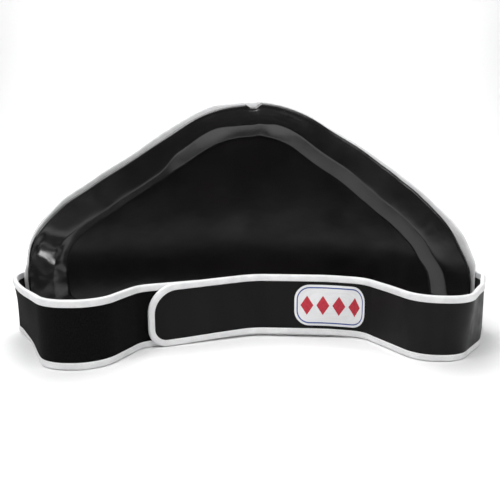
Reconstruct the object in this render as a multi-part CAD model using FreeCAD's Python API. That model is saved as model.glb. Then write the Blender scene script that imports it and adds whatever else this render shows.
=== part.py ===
import FreeCAD, Part
import math
import os

# Belly pad: a curved, padded guard that covers the trainer's abdomen and groin, with a waist belt.
# Frame: X across the body, +Y out through the strike face, +Z up, millimetres.
# The origin is the middle of the object's footprint, on the surface that the pad stands on.

Vector = FreeCAD.Vector

# --- Pad outline, seen along Y -----------------------------------------------------------------
crown_centre_z = 133.0       # centre of the arc over the top
crown_radius = 184.0
shoulder_centre_x = 158.5    # centre of the arc at each side
shoulder_centre_z = 64.0
shoulder_radius = 140.0
corner_top_z = 50.0          # the rounding of the lower corners begins here
end_flare = 0.18             # the side walls lean outwards, in mm per mm of Y
end_y = -17.0                # Y of the rear edge at the pad's two ends
base_trim = 1.0              # cut off the rounded outline to leave a flat base

# --- Pad curvature in plan: two upright cylinders ----------------------------------------------
body_axis_y = -324.0         # axis of the concave side that lies against the body
rim_radius = 430.0           # crest of the padded rim, on the concave side
rim_height = 14.0            # how far the rim stands proud of the back panel
face_axis_y = -225.0         # axis of the convex strike face
face_radius = 389.0          # outside of the strike face

# --- Pad layers --------------------------------------------------------------------------------
vinyl = 1.2                  # covers, gussets and back panel
face_leather = 2.0
comfort_thickness = 6.8
impact_thickness = 12.0
rim_width = 48.0
rim_base_width = 30.0        # the rim is narrower along the straight bottom edge

# --- Edge binding on the pad's front edge ------------------------------------------------------
fin_width = 8.5              # seam allowance that stands out past the gusset
tape = 1.2                   # binding tape thickness
tape_cover = 9.0             # how far the tape reaches in from the edge
flange = 1.0                 # turned edge of the gusset inside the binding
joint_left_x = -3.0          # the tab that covers the joint between the two binding tapes
joint_right_x = 13.0
joint_proud = 0.8

# --- Belt --------------------------------------------------------------------------------------
belt_bottom_z = 1.0
belt_height = 80.0
strap_tape = 0.8             # binding tape on the belt
strap_tape_cover = 8.0
strap_skin = 1.2             # outer leather, loop face and linings
strap_core = 1.6
strap_gap = 0.15             # half the space between the two straps where they overlap
tip_radius = 30.0            # corners of both strap tips
hinge_gap = 0.3
flap_tip_x = -124.0
under_tip_x = 127.0
flap_hinge_y = -76.0         # where the flap starts to peel off

# Plan route of the belt, from the left root to the right one: x, y, corner radius.
# It is the surface where the two straps meet; the left strap is inside it, the right one outside.
root_x = 313.6
strap_thickness = 2 * strap_tape + 2 * strap_skin + strap_core
belt_route_corners = [
    (-root_x - strap_thickness, 0.0, 0.0),
    (-root_x - strap_thickness, -10.0, 25.0),
    (-230.0, -165.0, 46.0),
    (-167.0, -165.0, 46.0),
    (-135.0, -85.0, 30.0),
    (4.0, -27.0, 70.0),
    (153.0, -38.0, 30.0),
    (200.0, -130.0, 32.0),
    (242.0, -130.0, 32.0),
    (287.0, -72.0, 80.0),
    (root_x, -12.0, 30.0),
    (root_x, 0.0, 0.0),
]

# --- Belt anchors on the strike face -----------------------------------------------------------
anchor_inner_x = 262.0       # inner edge of the sewn-down tail
anchor_bend_x = 306.0        # from here the tail leaves the face and turns round the pad's edge
anchor_bend_radius = 6.0
patch_margin = 5.0           # the reinforcing patch shows this much around the tail
thread_diameter = 0.9
stitch_length = 3.6
stitch_pitch = 5.2
stitch_margin = 7.0

# --- Hook panel and label on the flap ----------------------------------------------------------
hook_start = 18.0            # from the flap's tip
hook_length = 165.0
hook_thickness = 1.6
hook_margin = 3.0            # clear of the tape, above and below
label_start_x = 59.0
label_length = 96.0
label_height = 55.0
label_radius = 20.0
label_thickness = 0.6
label_raise = 0.25           # printed shapes stand this proud of the label
label_border = 1.6
label_border_inset = 3.0
lozenge_count = 4
lozenge_length = 17.0
lozenge_height = 26.0

far = 1000.0                 # larger than the whole object


# --- Pad helpers -------------------------------------------------------------------------------
def pad_outline(y, grow, base):
    """Closed outline in the plane Y=y: three arcs and the lines that touch them, over a straight base."""
    top_radius = crown_radius + grow
    side_radius = shoulder_radius + grow
    side_x = shoulder_centre_x + end_flare * (y - end_y)
    drop = crown_centre_z - shoulder_centre_z
    apart = math.hypot(side_x, drop)
    tangent_angle = math.atan2(drop, -side_x) - math.acos((side_radius - top_radius) / apart)
    corner_radius = corner_top_z - base
    corner_x = side_x + side_radius - corner_radius

    def on_arc(x, z, r, angle):
        return Vector(x + r * math.cos(angle), y, z + r * math.sin(angle))

    crown_right = on_arc(0, crown_centre_z, top_radius, tangent_angle)
    crown_left = Vector(-crown_right.x, y, crown_right.z)
    side_top = on_arc(side_x, shoulder_centre_z, side_radius, tangent_angle)
    side_middle = on_arc(side_x, shoulder_centre_z, side_radius, tangent_angle / 2)
    side_bottom = on_arc(side_x, shoulder_centre_z, side_radius, 0)
    corner_top = on_arc(corner_x, corner_top_z, corner_radius, 0)
    corner_middle = on_arc(corner_x, corner_top_z, corner_radius, -math.pi / 4)
    corner_bottom = Vector(corner_x, y, base)

    right = [
        Part.LineSegment(crown_right, side_top),
        Part.Arc(side_top, side_middle, side_bottom),
        Part.LineSegment(side_bottom, corner_top),
        Part.Arc(corner_top, corner_middle, corner_bottom),
    ]
    right = [curve.toShape() for curve in right]
    left = [edge.mirror(Vector(0, 0, 0), Vector(1, 0, 0)) for edge in reversed(right)]
    crown = Part.Arc(crown_left, Vector(0, y, crown_centre_z + top_radius), crown_right).toShape()
    bottom = Part.LineSegment(corner_bottom, Vector(-corner_x, y, base)).toShape()
    return Part.Wire([crown] + right + [bottom] + left)


def slab(x0, x1, z0, z1):
    """A box between two X and two Z limits, right through the object along Y."""
    return Part.makeBox(x1 - x0, 2 * far, z1 - z0, Vector(x0, -far, z0))


def pad_block(grow=0.0, base=0.0):
    """The pad's outline as a deep block whose side walls flare outwards towards +Y; its base is flat."""
    near_y = -60.0
    far_y = 200.0
    ends = [pad_outline(y, grow, base - base_trim) for y in (near_y, far_y)]
    return Part.makeLoft(ends, True, True).common(slab(-far, far, base, far))


def column(axis_y, radius):
    return Part.makeCylinder(radius, far, Vector(0, axis_y, -far / 2), Vector(0, 0, 1))


def behind_body_surface(block, radius):
    """What is left of a block beyond the concave surface of this radius."""
    return block.cut(column(body_axis_y, radius))


def within_body_surface(block, radius):
    return block.common(column(body_axis_y, radius))


def within_face(block, radius):
    return block.common(column(face_axis_y, radius))


def outside_face(block, radius):
    return block.cut(column(face_axis_y, radius))


# --- Belt helpers ------------------------------------------------------------------------------
class Route:
    """A plan path of straight runs joined by tangent arcs, measured along its length."""

    def __init__(self, corners):
        self.spans = []
        self.length = 0.0
        points = [Vector(x, y, 0) for x, y, radius in corners]
        here = points[0]
        for index in range(1, len(points) - 1):
            before = (points[index] - points[index - 1]).normalize()
            after = (points[index + 1] - points[index]).normalize()
            turn = math.atan2(before.cross(after).z, before.dot(after))
            radius = corners[index][2]
            reach = radius * math.tan(abs(turn) / 2)
            arc_start = points[index] - before * reach
            self._add_line(here, arc_start)
            self._add_arc(arc_start, before, turn, radius)
            here = points[index] + after * reach
        self._add_line(here, points[-1])

    def _add_line(self, start, end):
        step = end - start
        self.spans.append(("line", self.length, step.Length, start, step.normalize(), 0.0))
        self.length += self.spans[-1][2]

    def _add_arc(self, start, heading, turn, radius):
        self.spans.append(("arc", self.length, radius * abs(turn), start, heading, turn))
        self.length += self.spans[-1][2]

    def place(self, station, offset=0.0, span=None):
        """Point at a station, moved sideways by offset (positive: towards the body), and its heading."""
        if span is None:
            span = next(s for s in self.spans if station <= s[1] + s[2] + 1e-9)
        kind, begin, length, start, heading, turn = span
        side = Vector(-heading.y, heading.x, 0)
        if kind == "line":
            return start + heading * (station - begin) + side * offset, heading
        side_sign = math.copysign(1.0, turn)
        centre = start + side * (side_sign * length / abs(turn))
        angle = turn * (station - begin) / length
        spin = FreeCAD.Rotation(Vector(0, 0, 1), math.degrees(angle))
        return centre + spin.multVec(start + side * offset - centre), spin.multVec(heading)

    def edges(self, offset, start, end):
        """The route's edges between two stations, moved sideways by offset."""
        made = []
        for span in self.spans:
            first = max(start, span[1])
            last = min(end, span[1] + span[2])
            if last - first < 1e-6:
                continue
            ends = [self.place(s, offset, span)[0] for s in (first, (first + last) / 2, last)]
            if span[0] == "line":
                made.append(Part.LineSegment(ends[0], ends[2]).toShape())
            else:
                made.append(Part.Arc(*ends).toShape())
        return made

    def station_at(self, axis, value, first=0.0, last=None):
        """The station between first and last where x (axis 0) or y (axis 1) equals value."""
        last = self.length if last is None else last
        rising = self.place(last)[0][axis] > self.place(first)[0][axis]
        for _ in range(60):
            middle = (first + last) / 2
            if (self.place(middle)[0][axis] < value) == rising:
                first = middle
            else:
                last = middle
        return first


def ribbon(route, near, away, start, end, z0, z1):
    """A strip of the belt between two sideways offsets, two stations and two heights."""
    inside = route.edges(near, start, end)
    outside = route.edges(away, start, end)
    caps = [
        Part.LineSegment(route.place(s, near)[0], route.place(s, away)[0]).toShape()
        for s in (start, end)
    ]
    wire = Part.Wire(Part.__sortEdges__(inside + caps + outside))
    strip = Part.Face(wire).extrude(Vector(0, 0, z1 - z0))
    strip.translate(Vector(0, 0, z0))
    return strip


def corner_cutter(route, station, z, inwards, upwards, radius):
    """What is trimmed off a strap's tip to round one corner of it."""
    reach = 25.0
    origin, heading = route.place(station)
    along = heading * inwards
    up = Vector(0, 0, upwards)
    across = Vector(-heading.y, heading.x, 0)
    corner = origin + Vector(0, 0, z) - across * reach
    slack = 2.0
    tip = corner - along * slack - up * slack
    foot = corner + along * radius - up * slack
    first = corner + along * radius
    centre = first + up * radius
    middle = centre - (along + up) * (radius / math.sqrt(2))
    last = corner + up * radius
    side = last - along * slack
    edges = [
        Part.LineSegment(tip, foot),
        Part.LineSegment(foot, first),
        Part.Arc(first, middle, last),
        Part.LineSegment(last, side),
        Part.LineSegment(side, tip),
    ]
    face = Part.Face(Part.Wire([edge.toShape() for edge in edges]))
    return face.extrude(across * (2 * reach))


def strap_layer(near, away, start, end, inset, tip_at=None):
    """One layer of a strap, inset from its edges; tip_at is "start" or "end" for a rounded tip."""
    z0 = belt_bottom_z + inset
    z1 = belt_bottom_z + belt_height - inset
    if tip_at == "start":
        start = start + inset
    if tip_at == "end":
        end = end - inset
    layer = ribbon(belt, near, away, start, end, z0, z1)
    if tip_at is None:
        return layer
    station = start if tip_at == "start" else end
    inwards = 1 if tip_at == "start" else -1
    radius = tip_radius - inset
    layer = layer.cut(corner_cutter(belt, station, z0, inwards, 1, radius))
    return layer.cut(corner_cutter(belt, station, z1, inwards, -1, radius))


def strap(outer_face, start, end, tip_at=None):
    """The layers of a strap: outer skin, core, lining and binding. outer_face is its outer offset."""
    levels = [outer_face + strap_tape]
    for thickness in (strap_skin, strap_core, strap_skin):
        levels.append(levels[-1] + thickness)
    inner_face = levels[-1] + strap_tape
    skins = [
        strap_layer(levels[i], levels[i + 1], start, end, strap_tape, tip_at)
        for i in range(3)
    ]
    whole = strap_layer(outer_face, inner_face, start, end, 0.0, tip_at)
    inside = strap_layer(levels[0], levels[3], start, end, strap_tape, tip_at)
    window = strap_layer(outer_face - 1, inner_face + 1, start, end, strap_tape_cover, tip_at)
    return skins + [whole.cut(inside).cut(window)]


def top_and_bottom(binding):
    middle_z = belt_bottom_z + belt_height / 2
    top = binding.common(slab(-far, far, middle_z, far))
    bottom = binding.common(slab(-far, far, -far, middle_z))
    return top, bottom


# --- Pad pieces --------------------------------------------------------------------------------
def make_foams():
    """Impact layer behind the strike face, lens-shaped core, comfort layer and the rim's roll."""
    inner = pad_block(-vinyl, vinyl)
    opening = pad_block(vinyl - rim_width, rim_base_width - vinyl)
    impact_radius = face_radius - face_leather - impact_thickness
    comfort_radius = rim_radius + rim_height + vinyl + comfort_thickness
    impact = outside_face(within_face(inner, face_radius - face_leather), impact_radius)
    behind_impact = within_face(inner, impact_radius)
    core = behind_body_surface(behind_impact, comfort_radius)
    roll = within_body_surface(behind_impact.cut(opening), comfort_radius)
    roll = behind_body_surface(roll, rim_radius + vinyl)
    comfort = within_body_surface(within_face(opening, impact_radius), comfort_radius)
    comfort = behind_body_surface(comfort, rim_radius + rim_height + vinyl)
    return {"impact_foam": impact, "core_foam": core, "rim_roll": roll, "comfort_foam": comfort}


def make_back():
    """Recessed back panel, and the rim cover with the flank that drops to the panel."""
    panel_radius = rim_radius + rim_height
    opening = pad_block(vinyl - rim_width, rim_base_width - vinyl)
    window = pad_block(-rim_width, rim_base_width)
    panel = behind_body_surface(within_body_surface(opening, panel_radius + vinyl), panel_radius)
    crest = pad_block().cut(window)
    crest = behind_body_surface(within_body_surface(crest, rim_radius + vinyl), rim_radius)
    flank = opening.cut(window)
    flank = behind_body_surface(within_body_surface(flank, panel_radius), rim_radius)
    return {"back_panel": panel, "rim_cover": crest.fuse(flank).removeSplitter()}


def make_gussets():
    """The wall between the rim and the strike face, with its edge turned out into the binding."""
    seat_radius = face_radius - face_leather
    outer = pad_block()
    wall = behind_body_surface(outer.cut(pad_block(-vinyl, vinyl)), rim_radius + vinyl)
    wall = within_face(wall, seat_radius)
    turned = pad_block(fin_width - tape, tape).cut(outer)
    turned = outside_face(within_face(turned, seat_radius), seat_radius - flange)
    gusset = wall.fuse(turned).removeSplitter()
    return {
        "gusset_top": gusset.common(slab(-far, far, corner_top_z, far)),
        "gusset_bottom": gusset.common(slab(-far, far, -far, corner_top_z)),
    }


def make_front():
    """Strike face, the two binding tapes round its edge and the tab over their upper joint."""
    seat_radius = face_radius - face_leather
    sewn_edge = pad_block(fin_width - tape, tape)
    cover = outside_face(within_face(sewn_edge, face_radius), seat_radius)
    pad_inside = within_face(pad_block(), seat_radius)
    sandwich = outside_face(within_face(sewn_edge, face_radius), seat_radius - flange)

    def channel(proud):
        ring = pad_block(fin_width + proud).cut(pad_block(fin_width - tape_cover, tape_cover))
        ring = within_face(ring, face_radius + tape + proud)
        return outside_face(ring, seat_radius - flange - tape - proud).cut(pad_inside)

    tapes = channel(0.0).cut(sandwich)
    filled = within_face(pad_block(fin_width), face_radius + tape)
    filled = outside_face(filled, seat_radius - flange - tape)
    tab = channel(joint_proud).cut(filled)
    tab = tab.common(slab(joint_left_x, joint_right_x, crown_centre_z, far))
    return {
        "front_cover": cover,
        "binding_left": tapes.common(slab(-far, 0, -far, far)),
        "binding_right": tapes.common(slab(0, far, -far, far)),
        "binding_joint_tab": tab,
    }


# --- Belt anchors ------------------------------------------------------------------------------
def tail_route():
    """Plan path of the right tail's inside: along the strike face, then round the pad's edge."""
    hug = face_radius + tape + 0.2
    bend_y = face_axis_y + math.sqrt(hug ** 2 - anchor_bend_x ** 2)
    start_angle = math.acos(anchor_inner_x / hug)
    end_angle = math.acos(anchor_bend_x / hug)
    heading = Vector(math.sin(end_angle), -math.cos(end_angle), 0)
    turn_x = root_x
    turn_y = bend_y + heading.y * (turn_x - anchor_bend_x) / heading.x
    tail = Route([
        (anchor_bend_x, bend_y, 0.0),
        (turn_x, turn_y, anchor_bend_radius),
        (turn_x, 0.0, 0.0),
    ])
    arc_length = hug * (start_angle - end_angle)
    start = Vector(hug * math.cos(start_angle), face_axis_y + hug * math.sin(start_angle), 0)
    first_heading = Vector(math.sin(start_angle), -math.cos(start_angle), 0)
    spans = [("arc", 0.0, arc_length, start, first_heading, end_angle - start_angle)]
    for kind, begin, length, point, direction, turn in tail.spans:
        spans.append((kind, begin + arc_length, length, point, direction, turn))
    tail.spans = spans
    tail.length += arc_length
    return tail


def stitch_rows(tail):
    """Start and end of each straight row of the box stitch, as (station, height) pairs."""
    left = stitch_margin
    right = tail.station_at(0, anchor_bend_x) - stitch_margin
    low = belt_bottom_z + stitch_margin + strap_tape_cover / 2
    high = belt_bottom_z + belt_height - stitch_margin - strap_tape_cover / 2
    return [
        ((left, low), (right, low)),
        ((right, low), (right, high)),
        ((right, high), (left, high)),
        ((left, high), (left, low)),
        ((left, low), (right, high)),
        ((right, low), (left, high)),
    ]


def make_stitches(tail):
    """Box stitch with a cross: short threads lying on the tail's outer face."""
    offset = strap_thickness + thread_diameter / 2
    threads = []
    for (s0, z0), (s1, z1) in stitch_rows(tail):
        span = math.hypot(s1 - s0, z1 - z0)
        count = int(span / stitch_pitch)
        for number in range(1, count):
            middle = number / count
            half = stitch_length / 2 / span
            ends = []
            for share in (middle - half, middle + half):
                point, heading = tail.place(s0 + (s1 - s0) * share, offset)
                ends.append(Vector(point.x, point.y, z0 + (z1 - z0) * share))
            step = ends[1] - ends[0]
            threads.append(Part.makeCylinder(thread_diameter / 2, step.Length, ends[0], step))
    return Part.makeCompound(threads)


def make_anchors():
    """Sewn-down tails, the patches under them and their stitching, at both ends of the pad."""
    tail = tail_route()
    z0 = belt_bottom_z
    z1 = belt_bottom_z + belt_height
    strip = ribbon(tail, 0.0, strap_thickness, 0.0, tail.length, z0, z1)
    patch_inner_x = anchor_inner_x - patch_margin
    patch_outer_x = anchor_bend_x - 2 * patch_margin
    patch_reach = slab(patch_inner_x, patch_outer_x, z0 + tape_cover, z1 + patch_margin)
    patch_block = outside_face(within_face(patch_reach, face_radius + tape), face_radius)
    patch = patch_block.common(Part.makeBox(far, far, far, Vector(0, 0, 0)))
    patch = patch.common(pad_block(fin_width - tape_cover, tape_cover))
    right = {"belt_tail": strip, "anchor_patch": patch, "anchor_stitching": make_stitches(tail)}
    pieces = {}
    for name, shape in right.items():
        pieces[name + "_right"] = shape
        pieces[name + "_left"] = shape.mirror(Vector(0, 0, 0), Vector(1, 0, 0))
    return pieces


# --- Belt pieces -------------------------------------------------------------------------------
belt = Route(belt_route_corners)
flap_tip = belt.station_at(0, flap_tip_x)
under_tip = belt.station_at(0, under_tip_x)
flap_hinge = belt.station_at(1, flap_hinge_y, under_tip, belt.station_at(0, 200.0))


def make_left_belt():
    """The under strap: its outer skin is the loop face that the flap sticks to."""
    loop_face, core, lining, binding = strap(strap_gap, hinge_gap, under_tip, "end")
    return {
        "left_belt_loop_face": loop_face,
        "left_belt_core": core,
        "left_belt_lining": lining,
        "left_belt_binding": binding,
    }


def make_right_belt():
    """The upper strap between its root and the place where its flap starts to peel off."""
    outer_face = -strap_gap - strap_thickness
    skin, core, lining, binding = strap(outer_face, flap_hinge, belt.length - hinge_gap)
    top, bottom = top_and_bottom(binding)
    return {
        "right_belt_outer": skin,
        "right_belt_core": core,
        "right_belt_lining": lining,
        "right_belt_binding_top": top,
        "right_belt_binding_bottom": bottom,
    }


def label_shape(outside, inset, proud):
    """A rounded plate on the flap's outer face, inset from the label's outline."""
    start = belt.station_at(0, label_start_x) + inset
    end = start + label_length - 2 * inset
    middle_z = belt_bottom_z + belt_height / 2
    z0 = middle_z - label_height / 2 + inset
    z1 = middle_z + label_height / 2 - inset
    plate = ribbon(belt, outside - proud, outside, start, end, z0, z1)
    for station, inwards in ((start, 1), (end, -1)):
        for z, upwards in ((z0, 1), (z1, -1)):
            radius = label_radius - inset
            plate = plate.cut(corner_cutter(belt, station, z, inwards, upwards, radius))
    return plate


def make_lozenges(outside):
    """A plain row of lozenges along the middle of the label."""
    start = belt.station_at(0, label_start_x)
    middle_z = belt_bottom_z + belt_height / 2
    pitch = (label_length - 2 * label_border_inset - 4 * label_border) / lozenge_count
    shapes = []
    for number in range(lozenge_count):
        station = start + label_length / 2 + (number - (lozenge_count - 1) / 2) * pitch
        point, heading = belt.place(station, outside)
        across = Vector(-heading.y, heading.x, 0)
        centre = Vector(point.x, point.y, middle_z) - across
        tips = [
            centre + heading * (lozenge_length / 2),
            centre + Vector(0, 0, lozenge_height / 2),
            centre - heading * (lozenge_length / 2),
            centre - Vector(0, 0, lozenge_height / 2),
        ]
        prism = Part.Face(Part.makePolygon(tips + [tips[0]])).extrude(across * 2)
        sheet = ribbon(belt, outside - label_raise, outside, start, start + label_length, 0, far)
        shapes.append(prism.common(sheet))
    return Part.makeCompound(shapes)


def make_flap():
    """The part of the upper strap that peels off, with its hook panel and label."""
    outer_face = -strap_gap - strap_thickness
    skin, core, lining, binding = strap(outer_face, flap_tip, flap_hinge - hinge_gap, "start")
    lining_face = -strap_gap - strap_tape
    z0 = belt_bottom_z + strap_tape_cover + hook_margin
    z1 = belt_bottom_z + belt_height - strap_tape_cover - hook_margin
    hook_end = flap_tip + hook_start + hook_length
    hooks = ribbon(belt, lining_face, lining_face + hook_thickness, flap_tip + hook_start, hook_end, z0, z1)
    skin_face = outer_face + strap_tape
    label_face = skin_face - label_thickness
    border = label_shape(label_face, label_border_inset, label_raise)
    border = border.cut(label_shape(label_face + 1, label_border_inset + label_border, label_raise + 2))
    return {
        "right_flap_outer": skin,
        "right_flap_core": core,
        "right_flap_lining": lining,
        "right_flap_binding": binding,
        "hook_panel": hooks,
        "label_patch": label_shape(skin_face, 0.0, label_thickness),
        "label_border": border,
        "label_lozenges": make_lozenges(label_face),
    }


# --- Export ------------------------------------------------------------------------------------
def main():
    os.makedirs("parts", exist_ok=True)
    makers = (
        make_foams,
        make_back,
        make_gussets,
        make_front,
        make_anchors,
        make_left_belt,
        make_right_belt,
        make_flap,
    )
    for make in makers:
        for name, shape in make().items():
            shape.exportStep(os.path.join("parts", name + ".step"))
            print(name)


main()
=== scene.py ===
import math

import bmesh
import bpy
import numpy as np
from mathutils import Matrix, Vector, noise


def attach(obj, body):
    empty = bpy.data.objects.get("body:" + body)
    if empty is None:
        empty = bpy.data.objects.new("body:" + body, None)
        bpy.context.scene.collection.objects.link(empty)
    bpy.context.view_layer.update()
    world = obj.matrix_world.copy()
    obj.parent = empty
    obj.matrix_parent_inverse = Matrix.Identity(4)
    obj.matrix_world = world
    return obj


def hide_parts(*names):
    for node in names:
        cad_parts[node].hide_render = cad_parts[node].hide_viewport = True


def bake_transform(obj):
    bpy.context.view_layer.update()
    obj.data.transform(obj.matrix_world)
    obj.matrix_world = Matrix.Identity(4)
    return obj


# The looks of a belly pad with a hook-and-loop waist belt. Metres throughout, in the frame of the CAD model.

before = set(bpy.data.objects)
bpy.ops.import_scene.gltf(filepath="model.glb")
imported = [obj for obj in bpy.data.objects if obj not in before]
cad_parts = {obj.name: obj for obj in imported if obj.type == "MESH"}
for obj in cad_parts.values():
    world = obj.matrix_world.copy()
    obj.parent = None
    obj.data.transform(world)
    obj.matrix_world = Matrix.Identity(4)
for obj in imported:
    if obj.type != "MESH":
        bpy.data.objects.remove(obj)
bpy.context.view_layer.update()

# --- Pad outline and curvature, as in the CAD model ---------------------------------------------
crown_z = 0.133              # centre of the arc over the top
crown_radius = 0.184
shoulder_x = 0.1585          # centre of the arc at each side
shoulder_z = 0.064
shoulder_radius = 0.140
corner_top_z = 0.050
end_flare = 0.18             # how the side walls lean outwards towards +Y
end_y = -0.017
body_axis_y = -0.324         # axis of the concave side
rim_radius = 0.430           # crest of the rim
rim_height = 0.014
wall_height = 0.0034         # the side wall starts this far above the panel
panel_radius = rim_radius + rim_height
face_axis_y = -0.225         # axis of the strike face
face_radius = 0.389
face_leather = 0.002
seat_radius = face_radius - face_leather
fin_back_radius = seat_radius - 0.001  # the back of the sewn edge
vinyl = 0.0012
comfort_thickness = 0.0068
impact_thickness = 0.012
core_half_width = 0.245
rim_width = 0.048
rim_base_width = 0.030
fin_width = 0.0085
tape = 0.0012
tape_cover = 0.009           # how far the tape reaches in over the strike face
foam_slack = 0.0006          # foam stays this far inside its cover
outline_count = 420          # points round the outline

# --- Belt ---------------------------------------------------------------------------------------
strap_height = 0.080
strap_tape = 0.0008
strap_skin = 0.0012
strap_core = 0.0016
strap_thickness = 2 * strap_tape + 2 * strap_skin + strap_core
strap_tape_cover = 0.008
tail_rounding = (0.011, 0.011)  # radii of the upper and the lower corner
under_tip_rounding = (0.026, 0.026)
flap_tip_rounding = (0.038, 0.024)
strap_gap = 0.00015          # half the space between the overlapping straps
strap_bottom_z = 0.0006
root_x = 0.3136
anchor_inner_x = 0.262
anchor_bend_x = 0.306
anchor_bend_radius = 0.006
flap_tip_x = -0.128          # 4 mm beyond the CAD flap, where the photograph has it
under_tip_x = 0.127
flap_hinge_y = -0.076
flap_bend_reach = 0.030      # how far the bend reaches on each side of the hinge
split_x = 0.222              # the right strap's two lengths meet at the bottom of its bulge

belt_corners = [
    (-root_x - strap_thickness, -0.010, 0.025),
    (-0.230, -0.165, 0.046),
    (-0.167, -0.165, 0.046),
    (-0.135, -0.085, 0.030),
    (0.004, -0.027, 0.070),
    (0.153, -0.038, 0.030),
    (0.200, -0.130, 0.032),
    (0.242, -0.130, 0.032),
    (0.287, -0.072, 0.080),
    (root_x, -0.012, 0.030),
]

# --- Hook panel and stitches --------------------------------------------------------------------
hook_start = 0.018           # from the flap's tip
hook_length = 0.165
hook_margin = 0.003          # clear of the tape, above and below
hook_relief = 0.0013
stitch_pitch = 0.0036
stitch_length = 0.0024
stitch_radius = 0.00035
strap_stitch_inset = 0.0066
strap_stitch_depth = -0.0003  # on top of the tape, whose face is at depth 0

# --- Label --------------------------------------------------------------------------------------
label_start_x = 0.059
label_length = 0.096
label_height = 0.055
label_radius = 0.020
label_thickness = 0.0006
label_border = 0.0016
label_border_inset = 0.003
label_raise = 0.00025        # printed shapes stand this proud of the label
lozenge_count = 4
lozenge_length = 0.017
lozenge_height = 0.026


# --- Small helpers ------------------------------------------------------------------------------
def smoothstep(low, high, value):
    t = min(max((value - low) / (high - low), 0.0), 1.0)
    return t * t * (3 - 2 * t)


def bell(value, centre, width):
    return math.exp(-((value - centre) / width) ** 2)


def cyclic(knots, u):
    """Smooth value at u, from knots (u, value) round a closed outline."""
    before = [k for k in knots if k[0] <= u]
    after = [k for k in knots if k[0] > u]
    low = before[-1] if before else (knots[-1][0] - 1, knots[-1][1])
    high = after[0] if after else (knots[0][0] + 1, knots[0][1])
    return low[1] + (high[1] - low[1]) * smoothstep(low[0], high[0], u)


def ripple(x, y, z, scale, seed):
    """Smooth noise between about -1 and 1, with features about as large as scale."""
    return noise.noise(Vector((x / scale + seed, y / scale, z / scale)))


# Corners in the texture of a face whose material isn't laid out by them
tiny_square = ((0, 0), (0.001, 0), (0.001, 0.001), (0, 0.001))


def new_object(name, vertices, faces, face_uvs, material):
    mesh = bpy.data.meshes.new(name)
    mesh.from_pydata([tuple(v) for v in vertices], [], faces)
    layer = mesh.uv_layers.new(name="flat")
    flat = [value for uvs in face_uvs for uv in uvs for value in uv]
    layer.data.foreach_set("uv", flat)
    mesh.polygons.foreach_set("use_smooth", [True] * len(faces))
    mesh.materials.append(material)
    mesh.validate()
    shell = bmesh.new()
    shell.from_mesh(mesh)
    bmesh.ops.recalc_face_normals(shell, faces=shell.faces)
    shell.to_mesh(mesh)
    shell.free()
    mesh.set_sharp_from_angle(angle=math.radians(50))
    piece = bpy.data.objects.new(name, mesh)
    bpy.context.scene.collection.objects.link(piece)
    return piece


def woven(rows, wrap=False):
    """Vertices of the rows, and the faces between neighbouring rows.

    A face comes as the indices of its corners and as their (row, point) places, counted on past
    the last row and point where it closes a loop. A row of one point is a pole.
    """
    vertices = []
    starts = []
    for row in rows:
        starts.append(len(vertices))
        vertices.extend(row)
    faces = []
    places = []
    for i in range(len(rows) if wrap else len(rows) - 1):
        size = len(rows[i])
        next_size = len(rows[(i + 1) % len(rows)])
        for k in range(max(size, next_size)):
            corners = [(i, k + 1), (i, k), (i + 1, k), (i + 1, k + 1)]
            if size == 1:
                corners = corners[1:]
            elif next_size == 1:
                corners = corners[:3]
            wrapped = [(row % len(rows), point) for row, point in corners]
            faces.append(tuple(starts[row] + point % len(rows[row]) for row, point in wrapped))
            places.append(corners)
    return vertices, faces, places


def grid_piece(name, rows, material, wrap_rows=False, caps=False):
    """A closed piece from rows of points; each row is a closed loop.

    wrap_rows joins the last row to the first, and caps fills both end loops.
    """
    along = [0.0]
    for a, b in zip(rows, rows[1:]):
        along.append(along[-1] + (Vector(a[0]) - Vector(b[0])).length)
    along.append(along[-1] + along[1])
    widest = max(rows, key=len)
    across = [0.0]
    for a, b in zip(widest, widest[1:] + widest[:1]):
        across.append(across[-1] + (Vector(a) - Vector(b)).length)
    vertices, faces, places = woven(rows, wrap_rows)
    uvs = [tuple((along[row], across[point]) for row, point in corners) for corners in places]
    if caps:
        size = len(rows[0])
        for start, flip in ((0, False), (len(vertices) - size, True)):
            for k in range(size // 2 - 1):
                quad = (start + k, start + k + 1, start + size - 2 - k, start + size - 1 - k)
                faces.append(quad[::-1] if flip else quad)
                uvs.append(tiny_square)
    return new_object(name, vertices, faces, uvs, material)


def end_faces(rows):
    """One face over each end of a stack of equal loops, as indices of their points."""
    size = len(rows[0])
    total = size * len(rows)
    return [tuple(reversed(range(size))), tuple(range(total - size, total))]


def joined(name, pieces):
    with bpy.context.temp_override(active_object=pieces[0], selected_editable_objects=pieces):
        bpy.ops.object.join()
    pieces[0].name = name
    return pieces[0]


def patch_rows(outline, at, thickness, shares, back_shares):
    """Rows of a thin patch, from the middle of its face round its edge to the middle of its back.

    at(along, up, proud) gives a place on the patch, and the outline is (along, up) points.
    """
    levels = [(0, thickness)] + [(share, thickness) for share in shares]
    levels += [(1, thickness * 0.6), (1, 0.0)] + [(share, 0.0) for share in back_shares] + [(0, 0.0)]
    rows = []
    for share, proud in levels:
        ring = outline if share else [(0, 0)]
        rows.append([at(a * share, b * share, proud) for a, b in ring])
    return rows


def dress(piece, slot_name, *nodes, body="pad"):
    """Hide the CAD nodes a piece stands for, and attach the piece to the body it rides on."""
    if nodes:
        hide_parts(*nodes)
    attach(piece, body)


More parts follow.
